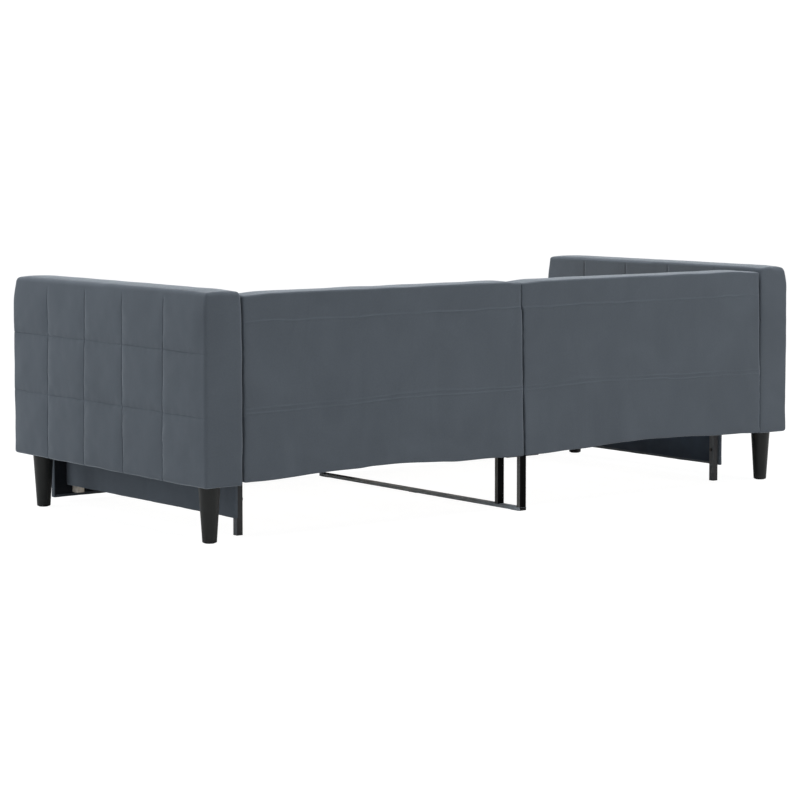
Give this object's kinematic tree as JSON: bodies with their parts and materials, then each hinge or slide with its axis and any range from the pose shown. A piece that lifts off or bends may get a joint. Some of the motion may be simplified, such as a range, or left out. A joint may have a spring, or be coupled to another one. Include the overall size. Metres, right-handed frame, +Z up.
{
  "type": "daybed with trundle",
  "caption": "Velvet daybed with padded quilted arms, a plain-backed panel back, tapered legs, and a trundle bed on casters that rolls out to the front.",
  "frame": {"origin": "on the floor, under the middle of the daybed", "axes": "+X to the right arm as seen from the front, +Y to the back, +Z up; the trundle rolls out along -Y"},
  "size_m": [2.25, 1.04, 0.692],
  "materials": {
    "velvet": "short pile velvet over foam, blue grey",
    "lining": "black non-woven cloth",
    "webbing": "woven tape",
    "timber": "planed softwood, bare",
    "birch": "slats, bare birch plywood",
    "hardboard": "hardboard, smooth face",
    "black_wood": "black satin lacquer",
    "black_steel": "black powder coat",
    "zinc": "zinc plated",
    "black_plastic": "moulded, fine texture",
    "tyre": "grey black tyre"
  },
  "bodies": {
    "daybed": {"arm_right_cover": "velvet", "arm_left_cover": "velvet", "back_right_cover": "velvet", "back_left_cover": "velvet", "base_front_cover": "velvet", "arm_right_frame": "timber", "arm_left_frame": "timber", "back_right_frame": "timber", "back_left_frame": "timber", "base_front_boards": "timber", "base_rear_rail": "timber", "base_cleats": "timber", "base_cross_beam": "timber", "arm_boards": "hardboard", "back_boards": "hardboard", "base_slats": "birch", "base_slat_straps": "webbing", "arm_linings": "lining", "leg_rear_right": "black_wood", "leg_front_right": "black_wood", "leg_rear_left": "black_wood", "leg_front_left": "black_wood", "support_foot_bar": "black_steel", "support_post_rear": "black_steel", "support_post_inner": "black_steel", "back_arm_bolts": "zinc", "back_centre_bolts": "zinc", "leg_studs": "zinc", "leg_plates": "zinc", "leg_plate_screws": "zinc", "rail_brackets": "zinc", "rail_bolts": "zinc", "support_screws": "zinc", "leg_glides": "black_plastic", "support_pads": "black_plastic"},
    "trundle": {"trundle_front_cover": "velvet", "trundle_side_covers": "velvet", "trundle_joiner": "velvet", "trundle_corner_battens": "timber", "trundle_front_rail": "timber", "caster_blocks": "timber", "trundle_front_boards": "hardboard", "trundle_side_boards": "hardboard", "trundle_slats": "birch", "trundle_slat_straps": "webbing", "trundle_front_lining": "lining", "trundle_side_linings": "lining", "trundle_rear_leg_right": "black_steel", "trundle_rear_leg_left": "black_steel", "trundle_rear_rail": "black_steel", "trundle_bolts": "black_steel", "caster_fork_right": "zinc", "caster_fork_left": "zinc", "caster_axles": "zinc", "trundle_leg_caps": "black_plastic"},
    "wheel_right": {"caster_wheel_right": "black_plastic", "caster_tyre_right": "tyre"},
    "wheel_left": {"caster_wheel_left": "black_plastic", "caster_tyre_left": "tyre"}
  },
  "joints": [
    {"name": "trundle_slide", "type": "slide", "parent": "daybed", "child": "trundle", "axis": [0, -1, 0], "range_m": [0, 0.86]},
    {"name": "wheel_right_spin", "type": "hinge", "parent": "trundle", "child": "wheel_right", "pos_m": [0.75, -0.4785, 0.02], "axis": [1, 0, 0], "continuous": true},
    {"name": "wheel_left_spin", "type": "hinge", "parent": "trundle", "child": "wheel_left", "pos_m": [-0.75, -0.4785, 0.02], "axis": [1, 0, 0], "continuous": true}
  ]
}
